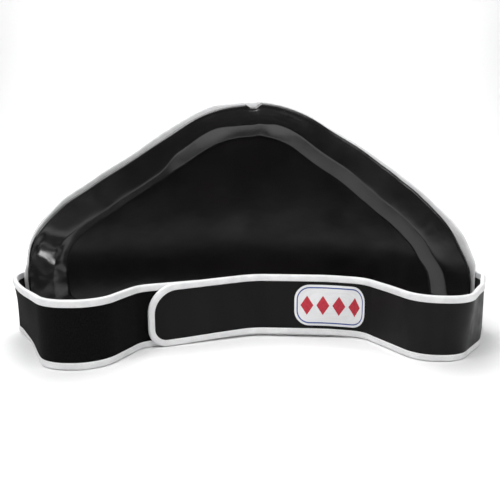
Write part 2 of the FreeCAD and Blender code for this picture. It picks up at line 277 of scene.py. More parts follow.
# --- Skins that settle over their foam ----------------------------------------------------------
def offset(loops, side, distance):
    """The loops moved along their surface's normal, on the side given as a rough direction."""
    count = max(len(loop) for loop in loops)
    places = np.array([[tuple(p) for p in (loop if len(loop) > 1 else loop * count)] for loop in loops])
    around_step = np.roll(places, -1, axis=1) - np.roll(places, 1, axis=1)
    across_step = np.gradient(places, axis=0)
    normals = np.cross(around_step, across_step)
    lengths = np.linalg.norm(normals, axis=2, keepdims=True)
    flip = np.sign(np.sum(normals * np.array(side), axis=(0, 1, 2)))
    normals = normals / np.maximum(lengths, 1e-12) * flip
    if len(loops[0]) == 1:
        normals[0] = side
    moved = places + normals * distance
    return [[Vector(p) for p in row[:len(loop)]] for row, loop in zip(moved, loops)]


def settled(loops, hold, loose, outward, pressure, slack, cap):
    """The loops after a cloth simulation: foam pushes the skin outwards, its seams stay put.

    hold(level) is how firmly each loop is held in place. slack is how much too large the skin
    was cut where loose(u) is 1, and cap is the most that any point may move.
    """
    frames = 20
    vertices, faces, _ = woven(loops)
    mesh = bpy.data.meshes.new("settling")
    mesh.from_pydata([tuple(v) for v in vertices], [], faces)
    facing = sum((face.normal * face.area for face in mesh.polygons), Vector()).dot(Vector(outward))
    if facing < 0:
        mesh.flip_normals()
    sheet = bpy.data.objects.new("settling", mesh)
    bpy.context.scene.collection.objects.link(sheet)
    held = sheet.vertex_groups.new(name="held")
    spare = sheet.vertex_groups.new(name="spare")
    index = 0
    for level, loop in enumerate(loops):
        for k in range(len(loop)):
            held.add([index], hold(level), "REPLACE")
            spare.add([index], loose(k / len(loop)), "REPLACE")
            index += 1
    cloth = sheet.modifiers.new("cloth", "CLOTH")
    cloth.settings.quality = 6
    cloth.settings.mass = 0.2
    cloth.settings.tension_stiffness = 40
    cloth.settings.compression_stiffness = 40
    cloth.settings.shear_stiffness = 20
    cloth.settings.bending_stiffness = 0.6
    cloth.settings.vertex_group_mass = "held"
    cloth.settings.pin_stiffness = 1.0
    cloth.settings.vertex_group_shrink = "spare"
    cloth.settings.shrink_min = 0.0
    cloth.settings.shrink_max = -slack
    cloth.settings.use_pressure = True
    cloth.settings.uniform_pressure_force = pressure
    cloth.settings.effector_weights.gravity = 0
    cloth.collision_settings.use_collision = False
    cloth.point_cache.frame_end = frames
    for number in range(1, frames + 1):
        bpy.context.scene.frame_set(number)
    shaped = sheet.evaluated_get(bpy.context.evaluated_depsgraph_get())
    places = iter([vertex.co.copy() for vertex in shaped.data.vertices])
    bpy.context.scene.frame_set(1)
    bpy.data.objects.remove(sheet)
    bpy.data.meshes.remove(mesh)
    result = []
    for loop in loops:
        row = []
        for start in loop:
            step = next(places) - start
            if step.length > cap:
                step *= cap / step.length
            row.append(start + step)
        result.append(row)
    return result


def skin(name, loops, inward, thickness, material, node, slot_name):
    """A closed padded skin of this thickness, whose outer face is the loops."""
    inner = offset(loops, inward, thickness)
    piece = grid_piece(name, loops + inner[::-1], material, wrap_rows=len(loops[0]) > 1)
    dress(piece, slot_name, node)


# --- Materials ----------------------------------------------------------------------------------
class Nodes:
    """Builds one procedural material: every texture is in metres on the piece."""

    def __init__(self, name, colour, roughness, coordinates="object"):
        self.material = bpy.data.materials.new(name)
        self.material.use_nodes = True
        self.tree = self.material.node_tree
        self.shader = self.tree.nodes["Principled BSDF"]
        self.shader.inputs["Base Color"].default_value = (*colour, 1)
        self.shader.inputs["Roughness"].default_value = roughness
        if coordinates == "object":
            self.place = self.node("ShaderNodeTexCoord").outputs["Object"]
        else:
            uv = self.node("ShaderNodeUVMap")
            uv.uv_map = "flat"
            self.place = uv.outputs["UV"]
        self.normal = None

    def node(self, kind, **settings):
        made = self.tree.nodes.new(kind)
        for key, value in settings.items():
            setattr(made, key, value)
        return made

    def link(self, source, target):
        self.tree.links.new(source, target)

    def stretched(self, scale):
        mapping = self.node("ShaderNodeMapping")
        mapping.inputs["Scale"].default_value = scale
        self.link(self.place, mapping.inputs["Vector"])
        return mapping.outputs["Vector"]

    def noise(self, size, detail=3.0, stretch=None):
        made = self.node("ShaderNodeTexNoise")
        made.inputs["Scale"].default_value = 1 / size
        made.inputs["Detail"].default_value = detail
        self.link(self.stretched(stretch) if stretch else self.place, made.inputs["Vector"])
        return made.outputs["Fac"]

    def cells(self, size, feature="DISTANCE_TO_EDGE", randomness=1.0):
        made = self.node("ShaderNodeTexVoronoi", feature=feature)
        made.inputs["Scale"].default_value = 1 / size
        made.inputs["Randomness"].default_value = randomness
        self.link(self.place, made.inputs["Vector"])
        return made.outputs["Distance"]

    def waves(self, size, direction, distortion=0.0):
        made = self.node("ShaderNodeTexWave", bands_direction=direction)
        made.inputs["Scale"].default_value = 0.5 / size
        made.inputs["Distortion"].default_value = distortion
        self.link(self.place, made.inputs["Vector"])
        return made.outputs["Fac"]

    def combine(self, operation, a, b):
        made = self.node("ShaderNodeMath", operation=operation)
        for socket, value in zip(made.inputs, (a, b)):
            if isinstance(value, (int, float)):
                socket.default_value = value
            else:
                self.link(value, socket)
        return made.outputs[0]

    def spread(self, value, low, high, to_low, to_high):
        made = self.node("ShaderNodeMapRange")
        for key, number in (("From Min", low), ("From Max", high), ("To Min", to_low), ("To Max", to_high)):
            made.inputs[key].default_value = number
        self.link(value, made.inputs["Value"])
        return made.outputs["Result"]

    def tint(self, value, low, high, dark, light):
        ramp = self.node("ShaderNodeValToRGB")
        ramp.color_ramp.elements[0].position = low
        ramp.color_ramp.elements[0].color = (*dark, 1)
        ramp.color_ramp.elements[1].position = high
        ramp.color_ramp.elements[1].color = (*light, 1)
        self.link(value, ramp.inputs["Fac"])
        self.link(ramp.outputs["Color"], self.shader.inputs["Base Color"])

    def shine(self, value, low, high):
        self.link(self.spread(value, 0.3, 0.7, low, high), self.shader.inputs["Roughness"])

    def relief(self, value, height, strength=1.0):
        bump = self.node("ShaderNodeBump")
        bump.inputs["Distance"].default_value = height
        bump.inputs["Strength"].default_value = strength
        self.link(value, bump.inputs["Height"])
        if self.normal is not None:
            self.link(self.normal, bump.inputs["Normal"])
        self.normal = bump.outputs["Normal"]

    def done(self, **sockets):
        if self.normal is not None:
            self.link(self.normal, self.shader.inputs["Normal"])
        for key, value in sockets.items():
            self.shader.inputs[key.replace("_", " ")].default_value = value
        return self.material


def vinyl_material(name, ior):
    made = Nodes(name, (0.006, 0.0055, 0.0055), 0.30)
    made.tint(made.noise(0.09, 4), 0.35, 0.70, (0.0040, 0.0036, 0.0038), (0.0075, 0.0066, 0.0068))
    made.shine(made.noise(0.05, 5), 0.18, 0.27)
    made.relief(made.cells(0.0011), 0.00006, 0.30)
    made.relief(made.noise(0.012, 4), 0.0006, 0.20)
    return made.done(IOR=ior)


def face_leather_material():
    made = Nodes("face_leather", (0.007, 0.0066, 0.0066), 0.42)
    made.tint(made.noise(0.12, 5), 0.3, 0.7, (0.005, 0.0047, 0.0047), (0.009, 0.0085, 0.0085))
    made.shine(made.noise(0.03, 4), 0.36, 0.50)
    made.relief(made.cells(0.0016), 0.00012, 0.6)
    made.relief(made.noise(0.006, 5), 0.0004, 0.25)
    return made.done(Specular_IOR_Level=0.25)


def belt_leather_material():
    made = Nodes("belt_leather", (0.006, 0.006, 0.0062), 0.5, "uv")
    made.tint(made.noise(0.05, 5), 0.3, 0.7, (0.0045, 0.0045, 0.0047), (0.0078, 0.0074, 0.0074))
    made.shine(made.noise(0.02, 4), 0.42, 0.56)
    made.relief(made.cells(0.0010), 0.00006, 0.4)
    made.relief(made.noise(0.016, 5, (1.0, 0.6, 1.0)), 0.0007, 0.25)
    return made.done(Specular_IOR_Level=0.13)


def tape_material():
    made = Nodes("white_tape", (0.80, 0.80, 0.81), 0.42, "uv")
    made.tint(made.noise(0.02, 5), 0.25, 0.6, (0.70, 0.70, 0.71), (0.84, 0.84, 0.845))
    made.shine(made.noise(0.006, 3), 0.36, 0.50)
    made.relief(made.cells(0.0009), 0.00005, 0.5)
    made.relief(made.noise(0.008, 3), 0.0004, 0.3)
    return made.done(IOR=1.5)


def loop_material():
    made = Nodes("loop_fabric", (0.004, 0.004, 0.004), 0.95, "uv")
    made.tint(made.noise(0.0016, 4), 0.35, 0.75, (0.0020, 0.0020, 0.0020), (0.0070, 0.0070, 0.0070))
    made.relief(made.noise(0.0008, 4), 0.0005, 0.8)
    made.relief(made.cells(0.0022, "F1"), 0.0003, 0.4)
    return made.done(Specular_IOR_Level=0.06, Sheen_Weight=0.02, Sheen_Roughness=0.5)


def lining_material():
    made = Nodes("lining_fabric", (0.012, 0.012, 0.013), 0.85, "uv")
    weave = made.combine("MAXIMUM", made.waves(0.0009, "X"), made.waves(0.0009, "Y"))
    made.tint(made.noise(0.01, 4), 0.3, 0.7, (0.009, 0.009, 0.010), (0.017, 0.017, 0.018))
    made.relief(weave, 0.0002, 0.6)
    return made.done(Specular_IOR_Level=0.25, Sheen_Weight=0.05)


def webbing_material():
    made = Nodes("webbing", (0.05, 0.05, 0.05), 0.9, "uv")
    weave = made.combine("MULTIPLY", made.waves(0.002, "X", 1.0), made.waves(0.0015, "Y"))
    made.tint(weave, 0.2, 0.8, (0.03, 0.03, 0.03), (0.07, 0.07, 0.07))
    made.relief(weave, 0.0004, 0.7)
    return made.done()


def hook_material():
    made = Nodes("hook_plastic", (0.012, 0.012, 0.012), 0.55, "uv")
    hooks = made.cells(0.0016, "F1", 0.15)
    # Painted light and shade: the raised hook heads are coloured lighter and the base between them darker.
    made.tint(hooks, 0.1, 0.6, (0.03, 0.03, 0.03), (0.008, 0.008, 0.008))
    made.relief(made.combine("MULTIPLY", hooks, -1.0), 0.0012, 1.0)
    return made.done()


def thread_material():
    made = Nodes("white_thread", (0.78, 0.78, 0.76), 0.6)
    made.tint(made.noise(0.002, 2), 0.3, 0.7, (0.68, 0.68, 0.66), (0.84, 0.84, 0.82))
    made.relief(made.noise(0.0004, 2), 0.0002, 0.6)
    return made.done()


def foam_material(name, colour, pore):
    made = Nodes(name, colour, 0.95)
    darker = tuple(c * 0.75 for c in colour)
    # Painted shade: the sunken pore centres are coloured a quarter darker than the foam, as shade in the
    # pores.
    made.tint(made.cells(pore, "F1"), 0.1, 0.6, darker, colour)
    made.relief(made.cells(pore, "F1"), pore * 0.4, 0.7)
    return made.done()


def label_material(name, colour, shade):
    made = Nodes(name, colour, 0.55, "uv")
    weave = made.combine("MAXIMUM", made.waves(0.0005, "X"), made.waves(0.0008, "Y"))
    made.tint(made.noise(0.004, 4), 0.3, 0.7, shade, colour)
    made.relief(weave, 0.0001, 0.5)
    return made.done(Sheen_Weight=0.1)


def floor_material():
    """Pale where the object stands, and painted dark towards the front: painted shade that stands in for the
    unlit room the gloss vinyl reflects.
    """
    made = Nodes("pale_floor", (0.90, 0.90, 0.90), 0.6)
    split = made.node("ShaderNodeSeparateXYZ")
    made.link(made.place, split.inputs["Vector"])
    uneven = made.spread(made.noise(0.6, 3), 0.0, 1.0, -0.03, 0.03)
    distance = made.combine("ADD", split.outputs["Y"], uneven)
    # Painted shade: the colour falls from pale to dark between half a metre and 1.2 metres in front,
    # standing in for an unlit room.
    made.tint(made.spread(distance, -1.2, -0.5, 0.0, 1.0), 0.0, 1.0, (0.14, 0.14, 0.14), (0.90, 0.90, 0.90))
    made.shine(made.noise(0.2, 3), 0.55, 0.65)
    return made.done(Specular_IOR_Level=0.3)


gloss_vinyl = vinyl_material("gloss_vinyl", 1.75)
panel_vinyl = vinyl_material("panel_vinyl", 1.42)
face_grain = face_leather_material()
belt_leather = belt_leather_material()
white_tape = tape_material()
loop_fabric = loop_material()
lining_fabric = lining_material()
webbing = webbing_material()
hook_plastic = hook_material()
white_thread = thread_material()
dense_foam = foam_material("dense_foam", (0.12, 0.12, 0.13), 0.0012)
core_foam = foam_material("core_foam", (0.55, 0.53, 0.42), 0.0018)
soft_foam = foam_material("soft_foam", (0.80, 0.78, 0.70), 0.0022)
label_white = label_material("label_white", (0.86, 0.86, 0.87), (0.78, 0.78, 0.79))
label_blue = label_material("label_blue", (0.035, 0.08, 0.33), (0.02, 0.05, 0.24))
label_red = label_material("label_red", (0.58, 0.02, 0.045), (0.42, 0.012, 0.03))


# --- Pad surfaces -------------------------------------------------------------------------------
def tangent_angle(side_x):
    """Direction from either arc's centre of the line that touches the crown and shoulder arcs."""
    drop = crown_z - shoulder_z
    apart = math.hypot(side_x, drop)
    return math.atan2(drop, -side_x) - math.acos((shoulder_radius - crown_radius) / apart)


def outline_stretches():
    """Lengths of the half outline's stretches: crown, shoulder line, side, drop, corner, base."""
    tangent = tangent_angle(shoulder_x)
    apart_squared = shoulder_x ** 2 + (crown_z - shoulder_z) ** 2
    return [
        crown_radius * (math.pi / 2 - tangent),
        math.sqrt(apart_squared - (crown_radius - shoulder_radius) ** 2),
        shoulder_radius * tangent,
        shoulder_z - corner_top_z,
        corner_top_z * math.pi / 2,
        shoulder_x + shoulder_radius - corner_top_z,
    ]


stretches = outline_stretches()
perimeter = 2 * sum(stretches)


def outline_xz(u, grow, base, y):
    """Place on the outline at the share u of the way round, clockwise from the crown."""
    mirror = u > 0.5
    way = (1 - u if mirror else u) * perimeter
    index = 0
    while index < 5 and way > stretches[index]:
        way -= stretches[index]
        index += 1
    share = min(way / stretches[index], 1.0)
    side_x = shoulder_x + end_flare * (y - end_y)
    top = crown_radius + grow
    side = shoulder_radius + grow
    tangent = tangent_angle(side_x)
    corner = corner_top_z - base
    if index == 0:
        angle = math.pi / 2 - share * (math.pi / 2 - tangent)
        x, z = top * math.cos(angle), crown_z + top * math.sin(angle)
    elif index == 1:
        x0, z0 = top * math.cos(tangent), crown_z + top * math.sin(tangent)
        x1, z1 = side_x + side * math.cos(tangent), shoulder_z + side * math.sin(tangent)
        x, z = x0 + (x1 - x0) * share, z0 + (z1 - z0) * share
    elif index == 2:
        angle = tangent * (1 - share)
        x, z = side_x + side * math.cos(angle), shoulder_z + side * math.sin(angle)
    elif index == 3:
        x, z = side_x + side, shoulder_z + (corner_top_z - shoulder_z) * share
    elif index == 4:
        angle = -share * math.pi / 2
        x = side_x + side - corner + corner * math.cos(angle)
        z = corner_top_z + corner * math.sin(angle)
    else:
        x, z = (side_x + side - corner) * (1 - share), base
    return (-x if mirror else x), z


# Hand-sewn unevenness of the outline, as (share round from the crown, how far out)
unevenness = [
    (0.0, -0.001), (0.0085, 0.0), (0.0105, 0.002), (0.09, 0.002), (0.12, 0.0038), (0.15, 0.002),
    (0.17, 0.0), (0.205, -0.005), (0.235, -0.005), (0.265, 0.0), (0.72, 0.0), (0.74, 0.002),
    (0.765, 0.006), (0.80, 0.0025), (0.83, 0.0), (0.87, -0.0025), (0.91, -0.003), (0.97, -0.0015),
]

# The cover is drawn in under the tab at the crown: (share round, how far in)
tab_dip = [(0.0, 0.004), (0.0085, 0.004), (0.0105, 0.0), (0.9965, 0.0), (0.9985, 0.004)]


def body_depth(x, radius):
    return body_axis_y + math.sqrt(radius ** 2 - x ** 2)


def face_depth(x, radius):
    return face_axis_y + math.sqrt(radius ** 2 - x ** 2)


def pad_point(u, grow, base, depth):
    """Point at u, moved out by grow, with its base at base, on the surface depth(x)."""
    y = 0.0
    grow += cyclic(unevenness, u % 1.0) - cyclic(tab_dip, u % 1.0) * smoothstep(-0.012, -0.001, grow)
    for _ in range(4):
        x, z = outline_xz(u % 1.0, grow, base, y)
        y = depth(x)
    return Vector((x, y, z))


def inset_base(inset):
    """How high the outline's base is at this inset, since the rim is narrower along the base."""
    return inset * rim_base_width / rim_width


def around(count, first=0.0, last=1.0, closed=True):
    steps = count if closed else count - 1
    return [first + (last - first) * i / steps for i in range(count)]


# How wide the slope is between the rim's crest and the back panel, round the outline from the crown
flank_widths = [
    (0.0, 0.0156), (0.018, 0.0158), (0.036, 0.0195), (0.08, 0.019), (0.27, 0.019), (0.36, 0.022),
    (0.64, 0.022), (0.72, 0.016), (0.77, 0.012), (0.81, 0.008), (0.88, 0.008), (0.905, 0.018),
    (0.95, 0.020), (0.985, 0.0158),
]

# How much further in than intended the crease was sewn, round the outline from the crown
crease_shift = [(0.0, 0.0), (0.04, 0.001), (0.12, 0.007), (0.16, 0.010), (0.24, 0.009), (0.30, 0.0)]


def crease_inset(u):
    return rim_width + cyclic(crease_shift, u)


def rim_profile(u):
    """Outer surface of the rim at u, from the crease to the side wall, as (inset, height) pairs."""
    flank = cyclic(flank_widths, u)
    crease = crease_inset(u)
    foot = crease - 0.0016
    step = 0.0042
    top = foot - flank
    crest = rim_height - 0.0006
    edge = 0.0035
    outer = rim_height - 0.0030
    shape = [(crease + 0.0003, -0.0003), (crease, 0.0), (crease - 0.0003, 0.0018)]
    for share in (0.0, 0.08, 0.2, 0.35, 0.5, 0.65, 0.8, 0.93):
        bulge = 0.0003 * math.sin(math.pi * share)
        shape.append((foot - flank * share, step + (crest - step) * share + bulge))
    for share in (0.0, 0.04, 0.1, 0.18, 0.28, 0.38, 0.48, 0.58, 0.68, 0.78, 0.88, 0.96, 1.0):
        inset = top + (edge - top) * share
        fall = (crest - outer) * share ** 1.4
        shape.append((inset, crest - fall + 0.0003 * math.sin(math.pi * share ** 0.7)))
    for angle in (15, 30, 45, 60, 75, 90):
        turn = math.radians(angle)
        shape.append((edge - (edge + 0.0012) * math.sin(turn), outer - edge + edge * math.cos(turn)))
    shape.append((-0.0008, outer - 0.006))
    shape.append((0.0, wall_height))
    return shape


def rim_creases(u, inset):
    """Depth of the fold lines and wrinkles of the rim at this place."""
    signed = u if u < 0.5 else u - 1
    along = signed * perimeter
    near_crown = smoothstep(0.105, 0.06, abs(signed))
    wander = 0.0014 * noise.noise(Vector((along * 20, 3.1, 0)))
    depth = 0.0
    # Fold lines along the rim near the crown
    for line, strength in ((0.0065, 0.0004), (0.0125, 0.0004), (0.0185, 0.0003)):
        depth += strength * near_crown * bell(inset + wander, line, 0.0014)
    # Small pleats across it, at the crown itself
    pleats = smoothstep(0.03, 0.0, abs(signed)) * smoothstep(0.006, 0.02, inset)
    depth += 0.0005 * pleats * max(0.0, math.sin(along * 900))
    # One deep fold across the crest, above the left end
    on_crest = smoothstep(0.0, 0.012, inset) * smoothstep(0.041, 0.032, inset)
    depth += 0.0045 * bell(signed, -0.236, 0.011) * on_crest
    # The crumpled patch at the left end, and slight unevenness everywhere
    left_end = bell(signed, -0.262, 0.022)
    depth += 0.0026 * left_end * abs(noise.noise(Vector((along * 60, inset * 60, 8.2))))
    depth += 0.0003 * noise.noise(Vector((along * 33, inset * 33, 5.5)))
    return depth


def rim_point(u, inset, height, sunk=0.0):
    """On the rim at an inset and a height above the panel, sunk below its skin's outer face."""
    surface = panel_radius - height + sunk
    point = pad_point(u, -inset, inset_base(max(inset, 0.0)), lambda x: body_depth(x, surface))
    depth = rim_creases(u, inset) * smoothstep(0.0, 0.004, height)
    inward = Vector((point.x, point.y - body_axis_y, 0)).normalized()
    return point + inward * depth


# Where the rim's vinyl was cut too large, as (share round from the crown, looseness)
rim_looseness = [
    (0.0, 0.40), (0.06, 0.20), (0.10, 0.05), (0.25, 0.05), (0.5, 0.3), (0.70, 0.6), (0.72, 0.8),
    (0.75, 0.8), (0.775, 0.2), (0.88, 0.10), (0.95, 0.35),
]


def rim_loops():
    """Loops of the rim's outer face, from the crease to the side wall."""
    profiles = [(u, rim_profile(u)) for u in around(outline_count)]
    loops = []
    for level in range(len(profiles[0][1])):
        loops.append([rim_point(u, *profile[level]) for u, profile in profiles])
    return loops


def make_rim():
    """Rim cover: vinyl drawn tight over the foam roll, sewn down at the crease and at the wall."""
    loops = rim_loops()
    last = len(loops) - 1

    def hold(level):
        return 1.0 if level < 4 or level > last - 3 else 0.10

    def loose(u):
        return cyclic(rim_looseness, u)

    loops = settled(loops, hold, loose, (0, -1, 0), pressure=0.6, slack=0.014, cap=0.0022)
    skin("rim_cover_skin", loops, (0, 1, 0), vinyl, gloss_vinyl, "rim_cover", "gloss_vinyl")
    return loops


def wall_point(u, grow, base, share):
    """On the side wall, share of the way from the rim to the strike face."""
    start = panel_radius - wall_height

    def depth(x):
        return body_depth(x, start) * (1 - share) + face_depth(x, seat_radius) * share

    return pad_point(u, grow, base, depth)


def make_gussets():
    """Side wall in two lengths: over the crown, and along the base between the lower corners."""
    split = sum(stretches[:3]) / perimeter
    for name, node, first, last in (
        ("gusset_top_skin", "gusset_top", split - 1, split),
        ("gusset_bottom_skin", "gusset_bottom", split, 1 - split),
    ):
        rows = []
        count = round(outline_count * (last - first)) + 1
        for u in around(count, first, last, closed=False):
            u = u % 1.0
            outer = []
            inner = []
            for share in (0, 0.03, 0.1, 0.2, 0.35, 0.5, 0.65, 0.8, 0.9, 0.97, 1.0):
                puff = 0.0012 * math.sin(math.pi * share)
                point = wall_point(u, puff, 0.0, share)
                puff += 0.0006 * ripple(point.x, point.y, point.z, 0.02, 1.7) * math.sin(math.pi * share)
                outer.append(wall_point(u, puff, 0.0, share))
                inner.append(wall_point(u, puff - vinyl, vinyl, share))
            rows.append(outer + inner[::-1])
        gusset = grid_piece(name, rows, gloss_vinyl, caps=True)
        dress(gusset, "gloss_vinyl", node)


def plate_rows(edge, surface, count):
    """Loops of a disc on a surface, from its middle to the given edge of (x, z) points."""
    middle_z = 0.11
    rows = []
    for i in range(count + 1):
        share = (i / count) ** 0.8
        row = []
        for x, z in edge if i else edge[:1]:
            near_x = x * share
            near_z = middle_z + (z - middle_z) * share
            row.append(Vector((near_x, surface(near_x, near_z, share), near_z)))
        rows.append(row)
    return rows


def plate(name, edge, near, away, material, slot_name, node):
    """A closed plate between two surfaces, inside an edge given as (x, z) points."""
    count = 30
    rows = plate_rows(edge, near, count) + plate_rows(edge, away, count)[::-1]
    dress(grid_piece(name, rows, material), slot_name, node)


def edge_points(grow, base, depth, count):
    points = [pad_point(u, grow, base, depth) for u in around(count)]
    return [(p.x, p.z) for p in points]


def panel_depth(x, z, share):
    """The recessed back panel, with a slow wave and a slight swell that die away at its edge."""
    wave = 0.0009 * ripple(x, 0, z, 0.11, 2.3) + 0.0003 * ripple(x, 0, z, 0.04, 6.1)
    swell = 0.0012 * (1 - share ** 6)
    return body_depth(x, panel_radius) + wave * (1 - share ** 8) - swell


def make_panel():
    """Recessed back panel, sewn down along the crease."""
    edge = []
    for u in around(240):
        inset = crease_inset(u)
        base = inset_base(inset) - 0.0005
        point = pad_point(u, 0.0008 - inset, base, lambda x: body_depth(x, panel_radius))
        edge.append((point.x, point.z))
    loops = plate_rows(edge, panel_depth, 60)
    last = len(loops) - 1

    def hold(level):
        return 1.0 if level > last - 2 else 0.10 + 0.9 * smoothstep(0.8, 0.4, level / last)

    loops = settled(loops, hold, lambda u: 1.0, (0, -1, 0), pressure=0.5, slack=0.002, cap=0.0010)
    skin("back_panel_skin", loops, (0, 1, 0), vinyl, panel_vinyl, "back_panel", "gloss_vinyl")
    return loops


def face_swell(x, z, share):
    """The strike face swells over the foam and flattens towards its sewn edge."""
    flat = 1 - smoothstep(0.86, 0.97, share)
    swell = 0.0026 * flat * (1 - 0.4 * share ** 4)
    wave = 0.0009 * ripple(x, 0, z, 0.09, 4.4) * flat
    seam = 0.0006 * bell(share, 0.965, 0.006)
    return face_depth(x, face_radius) + swell + wave - seam


def make_face():
    """Strike face: thick leather over the impact foam."""
    edge = edge_points(fin_width - tape, tape, lambda x: face_depth(x, face_radius), 300)
    loops = plate_rows(edge, face_swell, 64)
    last = len(loops) - 1

    def hold(level):
        return 1.0 if level > last - 5 else 0.05

    loops = settled(loops, hold, lambda u: 1.0, (0, 1, 0), pressure=1.0, slack=0.005, cap=0.003)
    skin("front_cover_skin", loops, (0, -1, 0), face_leather, face_grain, "front_cover", "face_leather")


def make_foams(rim, panel):
    """The foam layers, shaped to the inside of the covers."""
    comfort_radius = panel_radius + vinyl + comfort_thickness
    impact_radius = seat_radius - impact_thickness
    inner_grow = -vinyl - foam_slack
    inner_base = vinyl + foam_slack

    near = offset(panel, (0, 1, 0), vinyl + foam_slack)[:-2]
    away = []
    for loop in near:
        away.append([Vector((p.x, body_depth(p.x, comfort_radius - foam_slack), p.z)) for p in loop])
    dress(grid_piece("comfort_foam_sheet", near + away[::-1], soft_foam), "soft_foam", "comfort_foam")

    impact_edge = edge_points(inner_grow, inner_base, lambda x: face_depth(x, seat_radius), 160)
    plate(
        "impact_foam_sheet", impact_edge,
        lambda x, z, share: face_depth(x, impact_radius + foam_slack),
        lambda x, z, share: face_depth(x, seat_radius - foam_slack),
        dense_foam, "dense_foam", "impact_foam",
    )
    core_width_share = core_half_width / max(x for x, z in impact_edge)
    core_height_share = 0.985  # keeps it below the cover where that is drawn in under the tab
    core_edge = [(x * core_width_share, z * core_height_share) for x, z in impact_edge]
    plate(
        "core_foam_lens", core_edge,
        lambda x, z, share: body_depth(x, comfort_radius + foam_slack),
        lambda x, z, share: face_depth(x, impact_radius - foam_slack),
        core_foam, "core_foam", "core_foam",
    )

    def roll_depth(x):
        return min(body_depth(x, comfort_radius - foam_slack), face_depth(x, impact_radius - foam_slack))

    top = offset(rim, (0, 1, 0), vinyl + 2 * foam_slack)[3:-6]
    floor = []
    for inset in (0.0026, 0.012, 0.024, 0.036, 0.044):
        floor.append([pad_point(u, -inset, inset_base(inset), roll_depth) for u in around(outline_count)])
    dress(grid_piece("rim_roll_foam", top + floor, soft_foam, wrap_rows=True), "soft_foam", "rim_roll")


# --- Edge binding of the pad --------------------------------------------------------------------
def tape_section(swell):
    """Cross-section of the folded tape: (grow, base, radius about the strike face's axis)."""
    inner = fin_back_radius
    thick = tape
    edge = fin_width
    cover = tape_cover
    return [
        (-0.0002, 0.0, inner - thick),
        (0.0030, 0.0, inner - thick - 0.3 * swell),
        (0.0065, 0.0, inner - thick - 0.6 * swell),
        (edge - 0.0004, 0.0, inner - thick * 0.6),
        (edge + swell, 0.0, inner + 0.0002),
        (edge + 1.3 * swell, 0.0, (inner + face_radius) / 2),
        (edge + swell, 0.0, face_radius - 0.0002),
        (edge - 0.0004, 0.0, face_radius + thick * 0.6),
        (0.0065, 0.0016, face_radius + thick + 0.6 * swell),
        (0.0030, 0.0055, face_radius + thick + 0.5 * swell),
        (edge - cover + 0.0003, cover - 0.0003, face_radius + thick + 0.1 * swell),
        (edge - cover, cover, face_radius + thick * 0.6),
        (edge - cover + 0.0003, cover - 0.0003, face_radius + 0.0002),
        (0.0040, 0.0045, face_radius + 0.0002),
        (edge - 0.0012, 0.0012, face_radius + 0.0001),
        (edge - 0.0010, 0.0012, inner - 0.0001),
        (0.0040, 0.0011, inner - 0.0002),
        (0.0000, 0.0010, inner - 0.0002),
    ]


# How much wider than intended the sewn edge came out, as (share round from the crown, extra width)
fin_extra = [
    (0.0, 0.004), (0.0085, 0.004), (0.0105, 0.0), (0.20, 0.0), (0.235, 0.0042), (0.255, 0.0030),
    (0.27, 0.0), (0.73, 0.0), (0.745, -0.0025), (0.775, -0.0025), (0.81, 0.0), (0.86, 0.001),
    (0.90, 0.0045), (0.955, 0.004), (0.98, 0.001), (0.9965, 0.001), (0.9985, 0.004),
]


def fin_wave(u):
    """The sewn edge isn't quite even: it leans and its width varies."""
    lean = 0.0012 * noise.noise(Vector((u * 23, 1.3, 0)))
    width = 0.0004 * noise.noise(Vector((u * 61, 7.7, 0))) + cyclic(fin_extra, u)
    return lean, width


def tape_row(u, swell, scale=1.0):
    row = []
    lean, width = fin_wave(u)
    above = smoothstep(0.006, 0.030, pad_point(u, 0, 0, lambda x: face_depth(x, seat_radius)).z)
    for grow, base, radius in tape_section(swell):
        out = max(grow, 0.0) / fin_width
        radius = seat_radius + (radius - seat_radius) * scale + lean * out * above
        wide = grow + (width * out + (scale - 1) * 0.002) * above
        row.append(pad_point(u, wide, base, lambda x: face_depth(x, radius)))
    return row


def make_pad_binding():
    """White tape folded over the sewn edge, in two lengths, with a short tab over their joint."""
    swell = 0.0006
    half = outline_count // 2
    gap = 0.0006
    tab_first = -0.003 / perimeter
    tab_last = 0.013 / perimeter
    for name, node, count, first, last, section in (
        ("edge_binding_right", "binding_right", half, gap, 0.5, (swell,)),
        ("edge_binding_left", "binding_left", half, 0.5, 1 - gap, (swell,)),
        ("edge_binding_tab", "binding_joint_tab", 14, tab_first, tab_last, (0.0009, 1.25)),
    ):
        rows = [tape_row(u % 1.0, *section) for u in around(count, first, last, closed=False)]
        dress(grid_piece(name, rows, white_tape, caps=True), "white_tape", node)


